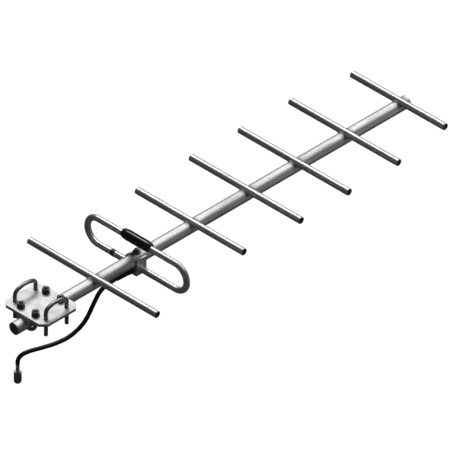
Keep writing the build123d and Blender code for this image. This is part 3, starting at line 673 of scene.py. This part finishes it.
def make_finishes():
    """Every finish of the antenna, by plain name."""
    scene = bpy.context.scene
    metal = scene.yagi_metal
    mould = scene.yagi_mould
    tube = tuple(metal.tube)
    return {
        "boom": boom_finish(tube),
        "rod": drawn_tube("rod_finish", tube, 0).material,
        "loop": drawn_tube("loop_finish", tube, 0, 0.33).material,
        "weld": weld_finish(tube),
        "plate": plate_finish("plate_finish", tuple(metal.plate)),
        "block": plate_finish("block_finish", shade(tuple(metal.plate), 1.05)),
        "zinc": zinc_finish("zinc_finish", tuple(metal.zinc)),
        "nuts": zinc_finish("nut_finish", tuple(metal.nuts)),
        "stainless": turned_finish("stainless_finish", tuple(metal.stainless), 2, 0.26),
        "nickel": turned_finish("nickel_finish", tuple(metal.nickel), 2, 0.34),
        "knurl": knurl_finish(tuple(metal.dark_nickel)),
        "cover": moulded_finish("cover_finish", tuple(mould.cover), 0.12, 0.004 * MM, 500.0),
        "jacket": moulded_finish("jacket_finish", tuple(mould.jacket), 0.34, 0.015 * MM, 1400.0),
        "boot": moulded_finish("boot_finish", tuple(mould.boot), 0.46, 0.02 * MM, 1200.0),
        "tube_plug": moulded_finish("tube_plug_finish", tuple(mould.plug), 0.48, 0.02 * MM),
        # Boom plug finish: lightened black, painted light on the boom's shaded ends.
        "lit_boom_plug": moulded_finish("boom_plug_finish", tuple(mould.lit_boom_plug), 0.42, 0.03 * MM),
        "sleeve": moulded_finish("sleeve_finish", shade(tuple(mould.plug), 0.8), 0.40, 0.02 * MM),
        "white": dipped_finish("insulator_finish", (0.78, 0.77, 0.74), 0.0, 0.40),
        "gold": dipped_finish("gold_finish", (0.83, 0.62, 0.26), 1.0, 0.22),
        "gasket": dipped_finish("gasket_finish", (0.30, 0.07, 0.05), 0.0, 0.50),
        "inner_line": dipped_finish("inner_line_finish", (0.42, 0.26, 0.15), 0.0, 0.42),
    }


FINISHES = {}


# ---- operators ----
class YAGI_OT_stage(bpy.types.Operator):
    """Sets the camera, the pale floor and the soft studio light"""
    bl_idname = "yagi.stage"
    bl_label = "Stage"

    def execute(self, context):
        settings = context.scene.yagi_stage
        centre = Vector(((BOOM_LOW.x + BOOM_HIGH.x) / 2, (BOOM_LOW.y + BOOM_HIGH.y) / 2, BOOM_Z))
        aim = centre + Vector((0.0, settings.aim_ahead, -settings.aim_below))
        level = math.cos(settings.elevation)
        back = Vector((math.sin(settings.azimuth) * level, -math.cos(settings.azimuth) * level,
                       math.sin(settings.elevation)))
        data = bpy.data.cameras.new("view")
        data.lens = settings.lens
        distance = settings.view_width * data.lens / data.sensor_width
        data.shift_x = settings.side_shift
        data.shift_y = -settings.down_shift
        data.clip_start = distance * 0.5
        data.clip_end = distance * 1.5
        camera = bpy.data.objects.new("view", data)
        camera.location = aim + back * distance
        camera.rotation_mode = "QUATERNION"
        camera.rotation_quaternion = (-back).to_track_quat("-Z", "Y")
        context.scene.collection.objects.link(camera)
        context.scene.camera = camera

        floor_z = CAD_BOX[0].z - settings.floor_drop
        half = settings.floor_size / 2
        mesh = bpy.data.meshes.new("floor")
        corners = [(-half, -half, floor_z), (half, -half, floor_z), (half, half, floor_z),
                   (-half, half, floor_z)]
        mesh.from_pydata(corners, [], [(0, 1, 2, 3)])
        floor = linked("floor", mesh)
        floor.visible_glossy = False
        floor.visible_diffuse = False
        mesh.materials.append(self.floor_finish(tuple(settings.floor_colour), settings.floor_glow))

        self.sun(context, "key", (-0.50, 0.30, 0.81), settings.key_strength, settings.key_softness)
        self.sun(context, "boom_light", (0.10, 0.58, 0.80), settings.boom_strength, settings.boom_softness)
        self.softbox(context, "side_fill", Vector((1.6, 1.6, -0.45)), 0.6, settings.fill_power, aim)
        self.room(context, settings.sky_strength)
        context.scene.view_settings.view_transform = "Standard"
        return {"FINISHED"}

    def floor_finish(self, colour, glow):
        finish = Finish("floor_finish", colour, 0.0, 0.85)
        finish.set("Emission Color", (*colour, 1.0))
        finish.set("Emission Strength", glow)
        cloudy = finish.grain((1.2, 1.2, 1.2), 3.0)
        finish.tint(finish.spread(cloudy, 0.35, 0.75, 0.0, 0.4), shade(colour, 1.05))
        finish.bump(finish.grain((90.0, 90.0, 90.0), 3.0), 0.1 * MM)
        return finish.material

    def sun(self, context, name, towards, strength, softness):
        data = bpy.data.lights.new(name, "SUN")
        data.energy = strength
        data.angle = softness
        light = bpy.data.objects.new(name, data)
        light.rotation_mode = "QUATERNION"
        light.rotation_quaternion = Vector(towards).to_track_quat("Z", "Y")
        context.scene.collection.objects.link(light)

    def softbox(self, context, name, place, size, power, aim):
        data = bpy.data.lights.new(name, "AREA")
        data.energy = power
        data.size = size
        light = bpy.data.objects.new(name, data)
        light.location = aim + place
        light.rotation_mode = "QUATERNION"
        light.rotation_quaternion = place.to_track_quat("Z", "Y")
        context.scene.collection.objects.link(light)

    def room(self, context, strength):
        world = bpy.data.worlds.new("room")
        world.use_nodes = True
        tree = world.node_tree
        background = tree.nodes["Background"]
        seen = tree.nodes.new("ShaderNodeLightPath").outputs["Is Camera Ray"]
        level = tree.nodes.new("ShaderNodeMapRange")
        level.inputs["To Min"].default_value = strength
        level.inputs["To Max"].default_value = 1.0
        tree.links.new(seen, level.inputs["Value"])
        tree.links.new(level.outputs["Result"], background.inputs["Strength"])
        background.inputs["Color"].default_value = (1.0, 1.0, 1.0, 1.0)
        context.scene.world = world


class YAGI_OT_tail(bpy.types.Operator):
    """Hangs the coaxial tail from its boot to its plug"""
    bl_idname = "yagi.tail"
    bl_label = "Coaxial tail"

    def execute(self, context):
        diameter = context.scene.yagi_detail.cable_diameter
        exit_z = (BOOT_LOW.z + BOOT_HIGH.z) / 2
        start = (0.0, BOOT_LOW.y, exit_z)
        end = (PLUG_X, PLUG_Y, FERRULE_HIGH.z)
        route = [
            start,
            (0.0, 0.1575, exit_z),
            (-0.0005, 0.1367, -0.0662),
            (-0.0030, 0.1165, -0.1015),
            (-0.0095, 0.0865, -0.1210),
            (-0.0165, 0.0550, -0.1250),
            (-0.0270, 0.0275, -0.1262),
            (-0.0344, 0.0099, -0.1266),
            (-0.0402, -0.0044, -0.1286),
            (-0.0435, -0.0123, -0.1340),
            (PLUG_X, PLUG_Y, -0.1412),
            end,
        ]
        data = bpy.data.curves.new("coax_tail", "CURVE")
        data.dimensions = "3D"
        spline = data.splines.new("NURBS")
        spline.points.add(len(route) - 1)
        for point, place in zip(spline.points, route):
            point.co = (*place, 1.0)
        spline.order_u = 3
        spline.use_endpoint_u = True
        spline.use_smooth = True
        data.resolution_u = 14
        data.bevel_depth = diameter / 2
        data.bevel_resolution = 9
        data.use_fill_caps = True
        data.materials.append(FINISHES["jacket"])
        tail = bpy.data.objects.new("coax_tail", data)
        context.scene.collection.objects.link(tail)
        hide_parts("coax_cable")
        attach(tail, "antenna")
        return {"FINISHED"}


class YAGI_OT_boot(bpy.types.Operator):
    """Moulds the ringed bend relief where the tail leaves the block"""
    bl_idname = "yagi.boot"
    bl_label = "Bend relief"

    def execute(self, context):
        length = BOOT_HIGH.y - BOOT_LOW.y
        root = (BOOT_HIGH.x - BOOT_LOW.x) / 2
        cable_r = context.scene.yagi_detail.cable_diameter / 2
        tip = cable_r + BOOT_WALL
        bore = cable_r - BOOT_GRIP
        outline = [(bore, 0.0), (root - BOOT_BREAK, 0.0), (root, BOOT_BREAK), (root, BOOT_COLLAR)]
        pitch = (length - BOOT_RIB_START - BOOT_RIB_END) / BOOT_RIBS
        for index in range(BOOT_RIBS):
            for part, lift in BOOT_RIB_SHAPE:
                along = BOOT_RIB_START + (index + part) * pitch
                radius = root + (tip - root) * along / length
                outline.append((radius + lift * BOOT_RIB_HEIGHT, along))
        outline += [(tip, length - BOOT_LIP), (tip, length - BOOT_LIP_BREAK),
                    (tip - BOOT_LIP_BREAK, length), (bore, length)]
        origin = Vector((0.0, BOOT_HIGH.y, (BOOT_LOW.z + BOOT_HIGH.z) / 2))
        mesh = lathe_mesh("bend_relief", outline, origin, (0, -1, 0), closed=True)
        shade_smooth(mesh, 40.0)
        stand_in("bend_relief", mesh, "boot", "cable_boot", "antenna")
        return {"FINISHED"}


class YAGI_OT_feed_cover(bpy.types.Operator):
    """Moulds the glossy feed cover with its parting ribs"""
    bl_idname = "yagi.feed_cover"
    bl_label = "Feed cover"

    def execute(self, context):
        half = (COVER_HIGH.x - COVER_LOW.x) / 2
        radius = (COVER_HIGH.z - COVER_LOW.z) / 2
        centre = (COVER_LOW + COVER_HIGH) / 2
        nose = radius - COVER_NOSE_DROP
        right = [(0.0, radius)] + [(share * half, radius - drop) for share, drop in COVER_TAPER]
        right += [(half - 1.2 * MM, nose), (half - 0.5 * MM, nose - 0.3 * MM), (half, nose - 1.1 * MM)]
        outline = [(size, -place) for place, size in reversed(right)]
        outline += [(size, place) for place, size in right[1:]]
        outline = [(0.0, -half)] + outline + [(0.0, half)]
        body = lathe_mesh("feed_cover", outline, centre, (1, 0, 0), sides=96)
        ribs = []
        for side in (-1, 1):
            stations = [(centre + Vector((place, side * (size - COVER_RIB_SINK), 0.0)), COVER_RIB_R)
                        for size, place in outline[2:-2]]
            ribs.append(bar_mesh("parting_rib", stations, (0, 0, 1), sides=10))
        mesh = joined("feed_cover", [body] + ribs)
        shade_smooth(mesh, 50.0)
        stand_in("feed_cover", mesh, "cover", "feed_housing", "antenna")
        return {"FINISHED"}


def leg_stations(tip, bend, radius, root, thread):
    """Heights and radii up one U-bolt leg, from its tip to its bend."""
    way = 1 if bend > tip else -1
    top = tip + way * thread
    return [(tip, root - THREAD_TIP_BREAK), (tip + way * THREAD_TIP_BREAK, root),
            (top - way * THREAD_RUNOUT, root), (top, radius), (bend, radius)]


def arc_places(centre_across, centre_z, radius, start, end, steps):
    """Places (across, height) along an arc, with angles measured from straight up."""
    places = []
    for index in range(steps + 1):
        angle = start + (end - start) * index / steps
        places.append((centre_across + radius * math.sin(angle), centre_z + radius * math.cos(angle)))
    return places


def round_arch(half, bend, way):
    """Half-round bend from the left leg to the right one."""
    places = arc_places(0.0, 0.0, half, -math.pi / 2, math.pi / 2, 40)
    return [(across, bend + way * rise) for across, rise in places[1:-1]]


def crowned_arch(half, base, shoulder, crown):
    """Tight shoulders over the legs, joined by a shallow crown."""
    lean = math.asin((half - shoulder) / (crown - shoulder))
    centre_z = base - (crown - shoulder) * math.cos(lean)
    left = arc_places(shoulder - half, base, shoulder, -math.pi / 2, -lean, 12)
    middle = arc_places(0.0, centre_z, crown, -lean, lean, 20)
    right = arc_places(half - shoulder, base, shoulder, lean, math.pi / 2, 12)
    return left[1:] + middle[1:-1] + right[:-1]


def u_bolt_meshes(name, place, across, half, tip, bend, arch, radius, thread, detail, tree):
    """Bar and thread ridges of one U-bolt. across is the unit vector between its legs."""
    root = radius - detail.thread_depth
    across = Vector(across)
    binormal = across.cross(Vector((0, 0, 1)))
    way = 1 if bend > tip else -1
    heights = leg_stations(tip, bend, radius, root, thread)
    stations = [(place - across * half + Vector((0, 0, z)), size) for z, size in heights]
    stations += [(place + across * reach + Vector((0, 0, z)), radius) for reach, z in arch]
    stations += [(place + across * half + Vector((0, 0, z)), size) for z, size in reversed(heights)]
    meshes = [bar_mesh(name, stations, binormal)]
    length = thread - THREAD_SHORTER
    low = min(tip + way * THREAD_CLEAR, tip + way * (THREAD_CLEAR + length))
    for side in (-1, 1):
        ridge = grown(name + "_thread", bpy.data.meshes.new("empty"), tree, {
            "Root radius": root, "Depth": detail.thread_depth, "Pitch": detail.thread_pitch,
            "Length": length, "Material": FINISHES["zinc"]})
        ridge.transform(Matrix.Translation(place + across * (side * half) + Vector((0, 0, low))))
        meshes.append(ridge)
    return meshes


class YAGI_OT_u_bolts(bpy.types.Operator):
    """Bends the U-bolts and cuts their threads"""
    bl_idname = "yagi.u_bolts"
    bl_label = "U-bolts"

    def execute(self, context):
        detail = context.scene.yagi_detail
        tree = thread_tree()
        low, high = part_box("mast_ubolt_left")
        radius = (high.x - low.x) / 2
        for side in ("left", "right"):
            low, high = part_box("mast_ubolt_" + side)
            half = (high.y - low.y) / 2 - radius
            place = Vector(((low.x + high.x) / 2, (low.y + high.y) / 2, 0.0))
            base = detail.mast_leg_top
            arch = crowned_arch(half, base, detail.mast_shoulder, detail.mast_crown)
            meshes = u_bolt_meshes("mast_u_bolt", place, (0, 1, 0), half, low.z, base, arch, radius,
                                   detail.mast_thread, detail, tree)
            self.piece("mast_u_bolt_" + side, meshes, "mast_clamp_" + side, "mast_ubolt_" + side)
        low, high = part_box("boom_ubolts")
        half = (high.x - low.x) / 2 - radius
        meshes = []
        for y in (low.y + radius, high.y - radius):
            bend = low.z + radius + half
            arch = round_arch(half, bend, -1)
            meshes += u_bolt_meshes("boom_u_bolt", Vector((0.0, y, 0.0)), (1, 0, 0), half, high.z,
                                    bend, arch, radius, detail.boom_thread, detail, tree)
        self.piece("boom_u_bolts", meshes, "clamp", "boom_ubolts")
        return {"FINISHED"}

    def piece(self, name, meshes, body, node):
        mesh = joined(name, meshes)
        shade_smooth(mesh, 45.0)
        stand_in(name, mesh, "zinc", node, body)


def seam_lines():
    """Front and rear seams where each rod sinks into the boom, as lines of places."""
    lines = []
    for node in RODS:
        low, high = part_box(node)
        rod_r = (high.z - low.z) / 2
        rise = (high.z + low.z) / 2 - BOOM_Z
        y = (low.y + high.y) / 2
        widest = math.sqrt(BOOM_R**2 - (rise - rod_r)**2)
        for side in (-1, 1):
            line = []
            for step in range(SEAM_STEPS + 1):
                turn = math.radians(SEAM_SWEEP * (step / SEAM_STEPS - 0.5))
                x = widest * math.sin(turn)
                height = math.sqrt(BOOM_R**2 - x**2)
                reach = math.sqrt(max(rod_r**2 - (height - rise)**2, 0.0))
                line.append((x, y + side * reach, BOOM_Z + height))
            lines.append(line)
    return lines


class YAGI_OT_welds(bpy.types.Operator):
    """Lays the rippled beads that hold the rods to the boom"""
    bl_idname = "yagi.welds"
    bl_label = "Weld beads"

    def execute(self, context):
        detail = context.scene.yagi_detail
        mesh = grown("weld_beads", line_mesh("seams", seam_lines()), weld_tree(), {
            "Radius": detail.bead_radius, "Pitch": detail.bead_pitch, "Seed": detail.bead_seed,
            "Material": FINISHES["weld"]})
        beads = linked("weld_beads", mesh)
        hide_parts(*["weld_" + name for name in RODS])
        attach(beads, "antenna")
        return {"FINISHED"}


class YAGI_OT_coupling_nut(bpy.types.Operator):
    """Turns the coupling nut and rolls its knurl"""
    bl_idname = "yagi.coupling_nut"
    bl_label = "Coupling nut"

    def execute(self, context):
        detail = context.scene.yagi_detail
        outer = (NUT_HIGH.x - NUT_LOW.x) / 2
        height = NUT_HIGH.z - NUT_LOW.z
        body_r = outer - detail.knurl_height
        outline = [
            (NUT_THREAD_BORE, 0.0), (outer - 2.2 * MM, 0.0), (outer - 1.5 * MM, 0.5 * MM),
            (outer - 0.25 * MM, 2.8 * MM), (outer - 0.1 * MM, 3.4 * MM), (outer - 0.1 * MM, 4.3 * MM),
            (body_r - 0.15 * MM, 4.6 * MM), (body_r - 0.15 * MM, 5.0 * MM), (body_r, 5.1 * MM),
            (body_r, height - 3.9 * MM), (body_r - 0.15 * MM, height - 3.8 * MM),
            (body_r - 0.15 * MM, height - 3.4 * MM), (outer - 0.1 * MM, height - 3.1 * MM),
            (outer - 0.1 * MM, height - 1.0 * MM), (outer - 0.9 * MM, height),
            (NUT_REAR_BORE, height), (NUT_REAR_BORE, height - NUT_REAR_WALL),
            (NUT_RELIEF, height - NUT_REAR_WALL),
            (NUT_RELIEF, height - NUT_RELIEF_END), (NUT_THREAD_BORE, height - NUT_RELIEF_END),
        ]
        origin = Vector((PLUG_X, PLUG_Y, NUT_LOW.z))
        shell = lathe_mesh("coupling_nut_shell", outline, origin, (0, 0, 1), sides=96, closed=True)
        knurl = grown("knurl", bpy.data.meshes.new("empty"), knurl_tree(), {
            "Radius": body_r, "Ridge height": detail.knurl_height, "Length": height - KNURL_ENDS,
            "Count": detail.knurl_count, "Lean": KNURL_LEAN, "Material": FINISHES["knurl"]})
        knurl.transform(Matrix.Translation(origin + Vector((0, 0, KNURL_START))))
        thread = grown("inner_thread", bpy.data.meshes.new("empty"), thread_tree(), {
            "Root radius": NUT_THREAD_BORE, "Depth": NUT_THREAD_DEPTH, "Pitch": NUT_THREAD_PITCH,
            "Length": NUT_THREAD_LENGTH, "Material": FINISHES["knurl"]})
        thread.transform(Matrix.Translation(origin + Vector((0, 0, 0.5 * MM))))
        mesh = joined("knurled_nut", [shell, knurl, thread])
        shade_smooth(mesh, 35.0)
        stand_in("knurled_nut", mesh, "knurl", "coupling_nut", "coupling")
        return {"FINISHED"}


class YAGI_OT_bolt_thread(bpy.types.Operator):
    """Cuts the thread on the through bolt's tip"""
    bl_idname = "yagi.bolt_thread"
    bl_label = "Bolt thread"

    def execute(self, context):
        detail = context.scene.yagi_detail
        low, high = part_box("dipole_bolt")
        nut_low, nut_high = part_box("dipole_bolt_nut")
        mesh = grown("bolt_thread", bpy.data.meshes.new("empty"), thread_tree(), {
            "Root radius": BOLT_R - 0.05 * MM, "Depth": 0.22 * MM, "Pitch": detail.bolt_pitch,
            "Length": nut_low.z - low.z - 0.5 * MM, "Material": FINISHES["stainless"]})
        middle = (low + high) / 2
        mesh.transform(Matrix.Translation((middle.x, middle.y, low.z + 0.3 * MM)))
        ridge = linked("bolt_thread", mesh)
        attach(ridge, "antenna")
        return {"FINISHED"}


class YAGI_OT_finishes(bpy.types.Operator):
    """Paints every piece that keeps its CAD shape"""
    bl_idname = "yagi.finishes"
    bl_label = "Finishes"

    def execute(self, context):
        paint(["boom_tube"], FINISHES["boom"])
        paint(RODS, FINISHES["rod"])
        paint(["dipole_loop"], FINISHES["loop"])
        paint(["dipole_block"], FINISHES["block"])
        paint(["mount_plate", "boom_saddle"], FINISHES["plate"])
        paint(["boom_rear_plug", "boom_front_plug"], FINISHES["lit_boom_plug"])
        paint(["element_end_plugs"], FINISHES["tube_plug"])
        paint(["dipole_marker_sleeve"], FINISHES["sleeve"])
        paint(["boom_ubolt_nuts", "boom_ubolt_washers", "boom_ubolt_lock_washers"], FINISHES["nuts"])
        paint(["dipole_bolt", "dipole_bolt_washers", "dipole_bolt_nut", "feed_screws"],
              FINISHES["stainless"])
        paint(["crimp_ferrule", "plug_body", "plug_snap_ring"], FINISHES["nickel"])
        paint(["plug_insulator", "feed_insulator"], FINISHES["white"])
        paint(["plug_pin"], FINISHES["gold"])
        paint(["plug_gasket"], FINISHES["gasket"])
        paint(["dipole_feed_coax"], FINISHES["inner_line"])
        paint(["cable_tail_root"], FINISHES["jacket"])
        return {"FINISHED"}


class YAGI_PT_panel(bpy.types.Panel):
    """Lists the antenna's pieces and their sizes"""
    bl_idname = "YAGI_PT_panel"
    bl_label = "Yagi antenna"
    bl_space_type = "VIEW_3D"
    bl_region_type = "UI"
    bl_category = "Yagi"

    def draw(self, context):
        for operator in OPERATORS:
            self.layout.operator(operator.bl_idname)
        for name in SETTINGS:
            box = self.layout.box()
            settings = getattr(context.scene, name)
            for key in settings.__annotations__:
                box.prop(settings, key)


SETTINGS = {
    "yagi_stage": YagiStageSettings,
    "yagi_metal": YagiMetalSettings,
    "yagi_mould": YagiMouldSettings,
    "yagi_detail": YagiDetailSettings,
}
OPERATORS = (
    YAGI_OT_stage,
    YAGI_OT_coupling_nut,
    YAGI_OT_tail,
    YAGI_OT_boot,
    YAGI_OT_feed_cover,
    YAGI_OT_u_bolts,
    YAGI_OT_welds,
    YAGI_OT_bolt_thread,
    YAGI_OT_finishes,
)


def register():
    for name, kind in SETTINGS.items():
        bpy.utils.register_class(kind)
        setattr(bpy.types.Scene, name, PointerProperty(type=kind))
    for operator in OPERATORS:
        bpy.utils.register_class(operator)
    bpy.utils.register_class(YAGI_PT_panel)


def unregister():
    bpy.utils.unregister_class(YAGI_PT_panel)
    for operator in reversed(OPERATORS):
        bpy.utils.unregister_class(operator)
    for name, kind in SETTINGS.items():
        delattr(bpy.types.Scene, name)
        bpy.utils.unregister_class(kind)


def main():
    register()
    FINISHES.update(make_finishes())
    for operator in OPERATORS:
        group, name = operator.bl_idname.split(".")
        getattr(getattr(bpy.ops, group), name)()


if __name__ == "__main__":
    main()
